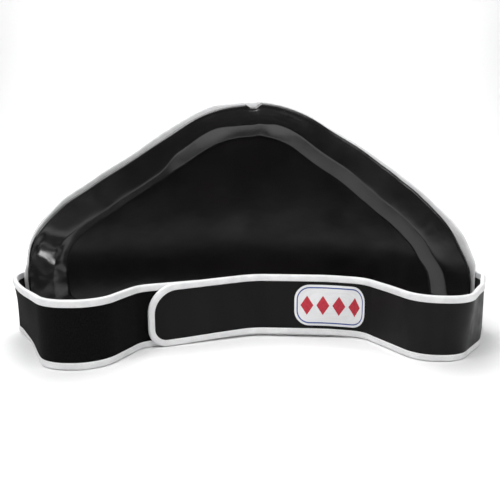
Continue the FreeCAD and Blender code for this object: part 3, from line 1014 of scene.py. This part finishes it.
# --- Belt route ---------------------------------------------------------------------------------
class Route:
    """A plan path of straight runs joined by tangent arcs, measured along its length."""

    def __init__(self, corners):
        self.spans = []
        self.length = 0.0
        points = [Vector((x, y, 0)) for x, y, _ in corners]
        here = points[0]
        for index in range(1, len(points) - 1):
            before = (points[index] - points[index - 1]).normalized()
            after = (points[index + 1] - points[index]).normalized()
            turn = math.atan2(before.cross(after).z, before.dot(after))
            reach = corners[index][2] * math.tan(abs(turn) / 2)
            arc_start = points[index] - before * reach
            self._add(here, before, (arc_start - here).length, 0.0)
            self._add(arc_start, before, corners[index][2] * abs(turn), turn)
            here = points[index] + after * reach
        self._add(here, after, (points[-1] - here).length, 0.0)

    def _add(self, start, heading, length, turn):
        if length > 1e-6:
            self.spans.append((self.length, length, start, heading, turn))
            self.length += length

    def place(self, station, offset=0.0):
        """Point at a station, moved sideways by offset (positive: towards the body)."""
        span = next((s for s in self.spans if station <= s[0] + s[1]), self.spans[-1])
        begin, length, start, heading, turn = span
        side = Vector((-heading.y, heading.x, 0))
        run = station - begin
        if turn == 0.0:
            return start + heading * run + side * offset
        signed_radius = length / turn
        centre = start + side * signed_radius
        angle = turn * run / length
        arm = (start + side * offset) - centre
        c, s = math.cos(angle), math.sin(angle)
        return centre + Vector((arm.x * c - arm.y * s, arm.x * s + arm.y * c, 0))

    def station_at(self, axis, value, first, last):
        rising = self.place(last)[axis] > self.place(first)[axis]
        for _ in range(50):
            middle = (first + last) / 2
            if (self.place(middle)[axis] < value) == rising:
                first = middle
            else:
                last = middle
        return first


def tail_corners(lift):
    """Corners of a tail, from its sewn end on the strike face to the bend round the pad's edge."""
    hug = face_radius + tape + 0.0002
    first = math.acos(anchor_inner_x / hug)
    last = math.acos(anchor_bend_x / hug)
    hug += lift
    middle = (first + last) / 2
    apex = hug / math.cos((first - last) / 2)
    bend = Vector((hug * math.cos(last), face_axis_y + hug * math.sin(last), 0))
    heading = Vector((math.sin(last), -math.cos(last), 0))
    turn_x = root_x + lift
    turn_y = bend.y + heading.y * (turn_x - bend.x) / heading.x
    return [
        (hug * math.cos(first), face_axis_y + hug * math.sin(first), 0.0),
        (apex * math.cos(middle), face_axis_y + apex * math.sin(middle), hug),
        (turn_x, turn_y, anchor_bend_radius + lift),
    ]


left_tail = [(-x, y, radius) for x, y, radius in tail_corners(strap_thickness)]
belt = Route(left_tail + belt_corners + tail_corners(0.0)[::-1])
middle_station = belt.station_at(0, 0.0, 0.2, belt.length - 0.2)
left_root = belt.station_at(1, 0.0, 0.0, 0.12)
right_root = belt.station_at(1, 0.0, belt.length - 0.12, belt.length)
flap_tip = belt.station_at(0, flap_tip_x, middle_station - 0.15, middle_station)
under_tip = belt.station_at(0, under_tip_x, middle_station, middle_station + 0.15)
split = belt.station_at(0, split_x, under_tip, right_root - 0.06)
label_start = belt.station_at(0, label_start_x, middle_station, under_tip)


# --- Strap surfaces -----------------------------------------------------------------------------
def strap_lean(station, height):
    """How far the strap leans sideways at this height: its two bulges spread towards the top."""
    up = height / strap_height
    left = bell(station, left_root + 0.075, 0.07) * smoothstep(left_root, left_root + 0.03, station)
    right = bell(station, split + 0.01, 0.06)
    return left * (0.005 * (1 - up) - 0.010 * up) - right * 0.010 * up


def strap_wave(station, height):
    """Slow unevenness shared by everything in the belt at this place."""
    calm = smoothstep(0.0, 0.02, abs(station - left_root)) * smoothstep(0.0, 0.02, abs(station - right_root))
    return 0.0009 * calm * noise.noise(Vector((station * 17, height * 14, 2.2)))


def flap_wrinkles(station, height):
    """Faint creases in the upper strap's leather, strongest where it bridges the wearer's middle."""
    zone = bell(station, middle_station + 0.005, 0.035)
    slanted = station + height * 0.5
    fine = noise.noise(Vector((slanted * 120, height * 30, 4.0)))
    return 0.0010 * zone * fine


def flap_lift(station):
    """The upper strap was fastened a little askew, so it sits slightly high in front."""
    rise = smoothstep(flap_tip + 0.01, middle_station + 0.02, station)
    fall = smoothstep(label_start + 0.12, label_start + 0.03, station)
    return 0.0036 * rise * fall


class Strap:
    """One strap of the belt: where its faces are, and its rounded outline in (station, height)."""

    def __init__(self, face, start, end, radii, open_at=None, lifted=False):
        self.face = face
        self.start = start
        self.end = end
        self.radii = radii
        self.open_at = open_at
        self.lifted = lifted

    def point(self, station, height, depth):
        """depth is measured from the strap's outer face towards the body."""
        offset = self.face + depth + strap_lean(station, height) + strap_wave(station, height)
        flat = belt.place(station, offset)
        z = strap_bottom_z + height + (flap_lift(station) if self.lifted else 0.0)
        return Vector((flat.x, flat.y, z))

    def limits(self, station, inset):
        """Lowest and highest heights at this station, inside the rounded corners."""
        low, high = inset, strap_height - inset
        for distance, (upper, lower) in (
            (station - self.start - inset, self.radii[0]),
            (self.end - inset - station, self.radii[1]),
        ):
            for radius, is_upper in ((upper - inset, True), (lower - inset, False)):
                if radius > 0 and distance < radius:
                    sag = radius - math.sqrt(max(radius ** 2 - (radius - distance) ** 2, 0.0))
                    if is_upper:
                        high = min(high, strap_height - inset - sag)
                    else:
                        low = max(low, inset + sag)
        return low, high

    def stations(self, inset, step=0.004):
        """Stations along the strap, closer together in its rounded ends."""
        start = self.start + (0.0 if self.open_at == "start" else inset)
        end = self.end - (0.0 if self.open_at == "end" else inset)
        ends = [max(pair) - inset for pair in self.radii]
        marks = []
        if ends[0] > 0:
            marks += [start + ends[0] * (1 - math.cos(math.radians(a))) for a in range(0, 90, 6)]
        first = start + max(ends[0], 0.0)
        last = end - max(ends[1], 0.0)
        count = max(2, round((last - first) / step))
        marks += [first + (last - first) * i / count for i in range(count + 1)]
        if ends[1] > 0:
            marks += [end - ends[1] * (1 - math.cos(math.radians(a))) for a in range(84, -1, -6)]
        return marks

    def layer(self, name, near, away, inset, material, crown=0.0, wrinkles=None):
        """A sheet of the strap between two depths, as a closed piece."""
        rows = []
        lines = 17
        for station in self.stations(inset):
            low, high = self.limits(station, inset)
            outer = []
            inner = []
            for k in range(lines):
                height = low + (high - low) * k / (lines - 1)
                rise = crown * math.sin(math.pi * k / (lines - 1)) ** 0.5
                if wrinkles:
                    rise += wrinkles(station, height) * math.sin(math.pi * k / (lines - 1))
                outer.append(self.point(station, height, near - rise))
                inner.append(self.point(station, height, away))
            rows.append(outer + inner[::-1])
        return grid_piece(name, rows, material, caps=True)

    def border(self, inset=0.0, step=0.004):
        """Round the strap's edge: (station, height, inward direction), skipping an open end."""
        x0, x1, z0, z1 = self.start + inset, self.end - inset, inset, strap_height - inset
        (r_a, r_b), (r_c, r_d) = [tuple(max(r - inset, 0.0) for r in pair) for pair in self.radii]
        if self.open_at == "start":
            x0 = self.start
        if self.open_at == "end":
            x1 = self.end

        def run(a, b, inward):
            count = max(1, round(math.dist(a, b) / step))
            return [(a[0] + (b[0] - a[0]) * i / count, a[1] + (b[1] - a[1]) * i / count, *inward)
                    for i in range(count + 1)]

        def arc(cx, cz, radius, first):
            steps = 12
            made = []
            for i in range(1, steps):
                angle = math.radians(first - 90 * i / steps)
                made.append((cx + radius * math.cos(angle), cz + radius * math.sin(angle),
                             -math.cos(angle), -math.sin(angle)))
            return made

        top = run((x0 + r_a, z1), (x1 - r_c, z1), (0, -1))
        far_end = arc(x1 - r_c, z1 - r_c, r_c, 90) + run((x1, z1 - r_c), (x1, z0 + r_d), (-1, 0))
        far_end += arc(x1 - r_d, z0 + r_d, r_d, 0)
        bottom = run((x1 - r_d, z0), (x0 + r_b, z0), (0, 1))
        near_end = arc(x0 + r_b, z0 + r_b, r_b, -90) + run((x0, z0 + r_b), (x0, z1 - r_a), (1, 0))
        near_end += arc(x0 + r_a, z1 - r_a, r_a, 180)
        if self.open_at == "start":
            return top + far_end + bottom
        if self.open_at == "end":
            return bottom + near_end + top
        return top + far_end + bottom + near_end

    def binding(self, name, puff=0.0004):
        """Tape folded over the strap's edge."""
        t, deep, cover = strap_tape, strap_thickness, strap_tape_cover
        section = [
            (cover, t), (cover + 0.0003, 0.5 * t), (cover, 0.0), (cover * 0.75, -0.8 * puff),
            (cover * 0.5, -puff), (cover * 0.25, -0.8 * puff), (0.0006, 0.0002), (-0.0002, 0.3 * deep),
            (-0.0002, 0.7 * deep), (0.0006, deep - 0.0002), (cover * 0.25, deep), (cover * 0.5, deep),
            (cover * 0.75, deep), (cover, deep), (cover + 0.0003, deep - 0.5 * t), (cover, deep - t),
            (0.0014, deep - t), (0.0009, deep / 2), (0.0014, t),
        ]
        rows = []
        for station, height, along, up in self.border():
            rows.append([
                self.point(station + along * inward, height + up * inward, depth)
                for inward, depth in section
            ])
        closed = self.open_at is None
        return grid_piece(name, rows, white_tape, wrap_rows=closed, caps=not closed)

    def stitches(self, name, inset, depth):
        """A row of thread stitches round the strap, on one face."""
        path = self.border(inset, 0.002)
        return thread_run(name, [self.point(s, h, depth) for s, h, _, _ in path])


def thread_run(name, places, pitch=stitch_pitch, length=stitch_length, thick=stitch_radius):
    """Short rounded threads laid end to end along a line of places."""
    travelled = [0.0]
    for a, b in zip(places, places[1:]):
        travelled.append(travelled[-1] + (b - a).length)
    sides = 6
    rings = ((-0.5, 0.15), (-0.44, 0.6), (-0.25, 0.95), (0.0, 1.0), (0.25, 0.95), (0.44, 0.6), (0.5, 0.15))
    pattern = [[None] * sides for _ in rings]
    thread_faces = woven(pattern)[1] + end_faces(pattern)
    vertices, faces = [], []
    for number in range(int(travelled[-1] / pitch)):
        here = (number + 0.5) * pitch
        index = int(np.searchsorted(travelled, here)) - 1
        index = min(max(index, 0), len(places) - 2)
        a, b = places[index], places[index + 1]
        if (b - a).length < 1e-9:
            continue
        ahead = (b - a).normalized()
        centre = a + ahead * (here - travelled[index])
        side = ahead.cross(Vector((0, 0, 1)))
        side = side.normalized() if side.length > 0.05 else Vector((1, 0, 0))
        other = ahead.cross(side).normalized()
        base = len(vertices)
        for share, radius in rings:
            for k in range(sides):
                angle = 2 * math.pi * k / sides
                swing = (side * math.cos(angle) + other * math.sin(angle)) * thick * radius
                vertices.append(centre + ahead * (share * length) + swing)
        faces += [tuple(base + corner for corner in face) for face in thread_faces]
    uvs = [tiny_square if len(face) == 4 else ((0.0, 0.0),) * len(face) for face in faces]
    return new_object(name, vertices, faces, uvs, white_thread)


# --- The straps ---------------------------------------------------------------------------------
levels = [strap_tape, strap_tape + strap_skin, strap_tape + strap_skin + strap_core]
levels.append(levels[-1] + strap_skin)
outer_face = -strap_gap - strap_thickness

left_strap = Strap(strap_gap, 0.0, under_tip, (tail_rounding, under_tip_rounding))
right_strap = Strap(outer_face, split, belt.length, ((0, 0), tail_rounding), "start", True)
flap = Strap(outer_face, flap_tip, split, (flap_tip_rounding, (0, 0)), "end", True)


def left_bends(piece):
    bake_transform(piece)


def right_bends(piece):
    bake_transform(piece)


def flap_bends(piece):
    """Bake the piece's transform. The flap would roll over along its own length on both sides of its hinge;
    the hinge and the ends of that bend are found here, but nothing bends the piece.
    """
    hinge = belt.station_at(1, flap_hinge_y, under_tip, split)
    start = belt.place(hinge + flap_bend_reach)
    end = belt.place(hinge - flap_bend_reach)
    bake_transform(piece)


def finish_strap(strap, prefix, nodes, outer_material, outer_slot, bend, wrinkles=None):
    """The four layers of a strap, its thread, and which CAD nodes they stand for."""
    outer = strap.layer(
        prefix + "_outer_layer", levels[0], levels[1], strap_tape, outer_material, 0.0004, wrinkles,
    )
    gap = 0.0001
    core_inset = 0.0018
    core = strap.layer(prefix + "_core_layer", levels[1] + gap, levels[2] - gap, core_inset, webbing)
    lining = strap.layer(prefix + "_lining_layer", levels[2], levels[3], strap_tape, lining_fabric)
    tape_piece = strap.binding(prefix + "_edge_tape")
    thread = strap.stitches(prefix + "_edge_thread", strap_stitch_inset, strap_stitch_depth)
    for piece, slot_name, replaced in (
        (outer, outer_slot, nodes["outer"]),
        (core, "webbing", nodes["core"]),
        (lining, "lining_fabric", nodes["lining"]),
        (tape_piece, "white_tape", nodes["binding"]),
        (thread, "white_thread", []),
    ):
        if replaced:
            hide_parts(*replaced)
        bend(piece)


def make_straps():
    finish_strap(left_strap, "left_belt", {
        "outer": ["left_belt_loop_face", "belt_tail_left"],
        "core": ["left_belt_core"],
        "lining": ["left_belt_lining"],
        "binding": ["left_belt_binding"],
    }, loop_fabric, "loop_fabric", left_bends)
    finish_strap(right_strap, "right_belt", {
        "outer": ["right_belt_outer", "belt_tail_right"],
        "core": ["right_belt_core"],
        "lining": ["right_belt_lining"],
        "binding": ["right_belt_binding_top", "right_belt_binding_bottom"],
    }, belt_leather, "belt_leather", right_bends)
    finish_strap(flap, "right_flap", {
        "outer": ["right_flap_outer"],
        "core": ["right_flap_core"],
        "lining": ["right_flap_lining"],
        "binding": ["right_flap_binding"],
    }, belt_leather, "belt_leather", flap_bends, flap_wrinkles)


def make_hook_panel():
    """Moulded hooks on the inner side of the flap, between the tapes."""
    margin = strap_tape_cover + hook_margin
    radii = (margin + 0.006, margin + 0.006)
    start = flap_tip + hook_start
    panel = Strap(outer_face, start, start + hook_length, (radii, radii), None, True)
    top = strap_thickness - strap_tape
    rows = []
    for station in panel.stations(0.0):
        low, high = panel.limits(station, 0.0)
        low, high = max(low, margin), min(high, strap_height - margin)
        heights = [low + (high - low) * k / 12 for k in range(13)]
        outer = [panel.point(station, h, top) for h in heights]
        inner = [panel.point(station, h, top + hook_relief) for h in heights]
        rows.append(outer + inner[::-1])
    sheet = grid_piece("hook_panel_sheet", rows, hook_plastic, caps=True)
    dress(sheet, "hook_plastic", "hook_panel", body="right_flap")


# --- Label --------------------------------------------------------------------------------------
def label_point(along, up, proud):
    """On the label: along and up from its middle, proud of the flap's outer leather."""
    station = label_start + label_length / 2 + along
    height = strap_height / 2 + up
    return flap.point(station, height, levels[0] - 0.0006 - proud)


def rounded_border(half_length, half_height, radius, steps=10, side_steps=8):
    """Points round a rounded rectangle about the origin, anticlockwise, as (along, up)."""
    points = []
    corners = (
        (half_length - radius, half_height - radius, 0),
        (-half_length + radius, half_height - radius, 90),
        (-half_length + radius, -half_height + radius, 180),
        (half_length - radius, -half_height + radius, 270),
    )
    for number, (cx, cz, first) in enumerate(corners):
        for i in range(steps + 1):
            angle = math.radians(first + 90 * i / steps)
            points.append((cx + radius * math.cos(angle), cz + radius * math.sin(angle)))
        nx, nz, nfirst = corners[(number + 1) % 4]
        angle = math.radians(nfirst)
        a = points[-1]
        b = (nx + radius * math.cos(angle), nz + radius * math.sin(angle))
        for i in range(1, side_steps):
            points.append((a[0] + (b[0] - a[0]) * i / side_steps, a[1] + (b[1] - a[1]) * i / side_steps))
    return points


def make_label():
    """A plain white field with a blue border line and a row of red lozenges."""
    half_length, half_height = label_length / 2, label_height / 2
    outline = rounded_border(half_length, half_height, label_radius)
    shares = (0.1, 0.2, 0.3, 0.4, 0.5, 0.6, 0.7, 0.8, 0.9, 0.97)
    rows = patch_rows(outline, label_point, label_thickness, shares, (0.8, 0.6, 0.4, 0.2))
    field = grid_piece("label_field", rows, label_white)
    dress(field, "label_white", "label_patch", body="right_flap")

    low = label_thickness - 0.0001
    high = label_thickness + label_raise
    middle = (low + high) / 2
    insets = (label_border_inset, label_border_inset + label_border)
    outer, inner = [
        rounded_border(half_length - inset, half_height - inset, label_radius - inset) for inset in insets
    ]
    rows = []
    for (a, b), (c, d) in zip(outer, inner):
        rows.append([
            label_point(a, b, low), label_point(a, b, middle),
            label_point(a + (c - a) * 0.2, b + (d - b) * 0.2, high),
            label_point(a + (c - a) * 0.8, b + (d - b) * 0.8, high),
            label_point(c, d, middle), label_point(c, d, low),
        ])
    line = grid_piece("label_border_line", rows, label_blue, wrap_rows=True)
    dress(line, "label_blue", "label_border", body="right_flap")

    pitch = (label_length - 2 * label_border_inset - 4 * label_border) / lozenge_count
    tips = ((1, 0), (0, 1), (-1, 0), (0, -1))
    side_steps = 8
    ring = []
    for (a, b), (c, d) in zip(tips, tips[1:] + tips[:1]):
        for i in range(side_steps):
            t = i / side_steps
            ring.append(((a + (c - a) * t) * lozenge_length / 2, (b + (d - b) * t) * lozenge_height / 2))
    profile = ((1.0, low), (1.0, middle), (0.93, high), (0.6, high), (0.3, high))
    vertices, faces, uvs = [], [], []
    for number in range(lozenge_count):
        along = (number - (lozenge_count - 1) / 2) * pitch
        rows = [[(along + a * share, b * share, proud) for a, b in ring] for share, proud in profile]
        corners, sides, _ = woven(rows)
        base = len(vertices)
        vertices += [label_point(*corner) for corner in corners]
        for face in sides + end_faces(rows):
            faces.append(tuple(base + corner for corner in face))
            uvs.append(tuple(corners[corner][:2] for corner in face))
    lozenges = new_object("label_lozenge_row", vertices, faces, uvs, label_red)
    dress(lozenges, "label_red", "label_lozenges", body="right_flap")


# --- Belt anchors on the strike face ------------------------------------------------------------
def make_anchors():
    """Leather patches under the tails, and the box stitching that holds the tails down."""
    patch_past_tail = 0.005
    patch_short_of_bend = 0.010
    patch_corner = 0.006
    margin = 0.011               # from the tail's end to the box of stitches
    reach = 0.048                # from the tail's end to the far side of that box
    thread_proud = 0.0006
    z0 = strap_bottom_z + 0.012
    z1 = strap_bottom_z + strap_height + 0.005
    for side, sign in (("left", -1), ("right", 1)):
        patch_inner_x = anchor_inner_x - patch_past_tail
        patch_outer_x = anchor_bend_x - patch_short_of_bend
        middle_x = sign * (patch_inner_x + patch_outer_x) / 2
        middle_z = (z0 + z1) / 2
        outline = rounded_border((patch_outer_x - patch_inner_x) / 2, (z1 - z0) / 2, patch_corner)

        def at(a, b, proud):
            x = middle_x + a
            return Vector((x, face_depth(x, face_radius + proud), middle_z + b))

        rows = patch_rows(outline, at, tape, (0.15, 0.3, 0.45, 0.6, 0.75, 0.88, 0.97), (0.5,))
        patch = grid_piece("anchor_patch_" + side + "_leather", rows, face_grain)
        dress(patch, "face_leather", "anchor_patch_" + side)

        strap = left_strap if side == "left" else right_strap
        first = margin if side == "left" else belt.length - margin
        last = reach if side == "left" else belt.length - reach
        low, high = margin + 0.002, strap_height - margin - 0.002
        corners = [(first, low), (last, low), (last, high), (first, high), (first, low), (last, high)]
        lines = list(zip(corners, corners[1:])) + [((last, low), (first, high))]
        runs = []
        for (s0, h0), (s1, h1) in lines:
            shares = around(25, closed=False)
            places = [
                strap.point(s0 + (s1 - s0) * share, h0 + (h1 - h0) * share, strap_tape - thread_proud)
                for share in shares
            ]
            runs.append(thread_run("run", places, pitch=0.0042, length=0.0032, thick=0.00045))
        thread = joined("anchor_thread_" + side, runs)
        dress(thread, "white_thread", "anchor_stitching_" + side)


def make_pad_thread():
    """Stitch line through the binding: all round its front, and behind it down to both corners."""
    front_radius = face_radius + tape + 0.0003
    rear_radius = fin_back_radius - tape - 0.0002
    count = 900
    lowest_z = 0.030             # of the row behind, which ends above both lower corners
    front = []
    rear = []
    for u in around(count):
        radius = rear_radius + fin_wave(u)[0] * 0.15
        front.append(pad_point(u, 0.0012, 0.0075, lambda x: face_depth(x, front_radius)))
        rear.append(pad_point(u, 0.0016, 0.0, lambda x: face_depth(x, radius)))
    right = [place for place in rear[:count // 2] if place.z > lowest_z]
    left = [place for place in rear[count // 2:] if place.z > lowest_z]
    for name, places in (("edge_thread_front", front), ("edge_thread_rear", right[::-1] + left[::-1])):
        dress(thread_run(name, places), "white_thread")


# --- Stage, camera and lights -------------------------------------------------------------------
def make_stage():
    """Floor that rises into a backdrop behind the object: pale where the object stands, with painted shade
    towards the front.
    """
    wide = 5.0
    bend = 1.2
    depth = 3.0
    profile = [(-depth, 0.0), (depth - bend, 0.0)]
    for angle in range(10, 91, 10):
        turn = math.radians(angle)
        profile.append((depth - bend + bend * math.sin(turn), bend - bend * math.cos(turn)))
    profile.append((depth, 5.0))
    vertices = [Vector((x, y, z)) for y, z in profile for x in (-wide, wide)]
    faces = [(2 * i, 2 * i + 1, 2 * i + 3, 2 * i + 2) for i in range(len(profile) - 1)]
    uvs = [((0, 0), (1, 0), (1, 1), (0, 1)) for _ in faces]
    floor = new_object("floor", vertices, faces, uvs, floor_material())


def area_light(name, place, aim, size, power):
    data = bpy.data.lights.new(name, "AREA")
    data.shape = "RECTANGLE"
    data.size, data.size_y = size
    data.energy = power
    lamp = bpy.data.objects.new(name, data)
    bpy.context.scene.collection.objects.link(lamp)
    lamp.location = place
    lamp.rotation_euler = (Vector(aim) - Vector(place)).to_track_quat("-Z", "Y").to_euler()


def make_lights():
    area_light("top_softbox", (-0.25, 0.0, 1.6), (0, 0.02, 0.1), (1.9, 1.1), 24)
    area_light("front_softbox", (-0.8, -1.25, 1.6), (0, 0.0, 0.15), (1.2, 0.6), 20)
    area_light("rear_softbox", (0.0, 1.3, 1.7), (0, 0.5, 0), (2.6, 1.0), 18)
    area_light("backdrop_light", (0.0, 1.2, 1.6), (0, 3.0, 0.6), (3.0, 0.8), 54)
    area_light("right_softbox", (1.1, -0.62, 0.62), (-0.29, 0, 0.10), (0.3, 0.3), 4.2)
    world = bpy.data.worlds.new("studio")
    world.use_nodes = True
    background = world.node_tree.nodes["Background"]
    background.inputs["Color"].default_value = (0.92, 0.94, 1.0, 1)
    background.inputs["Strength"].default_value = 0.05
    bpy.context.scene.world = world
    bpy.context.scene.view_settings.view_transform = "Standard"


def make_camera():
    data = bpy.data.cameras.new("camera")
    data.lens = 42
    data.sensor_width = 36
    camera = bpy.data.objects.new("camera", data)
    bpy.context.scene.collection.objects.link(camera)
    camera.location = (0.0, -0.789, 0.230)
    camera.rotation_euler = (math.radians(90 - 8.5), 0, 0)
    bpy.context.scene.camera = camera


make_camera()
make_stage()
make_lights()
rim = make_rim()
panel = make_panel()
make_foams(rim, panel)
make_gussets()
make_face()
make_pad_binding()
make_pad_thread()
make_straps()
make_hook_panel()
make_label()
make_anchors()
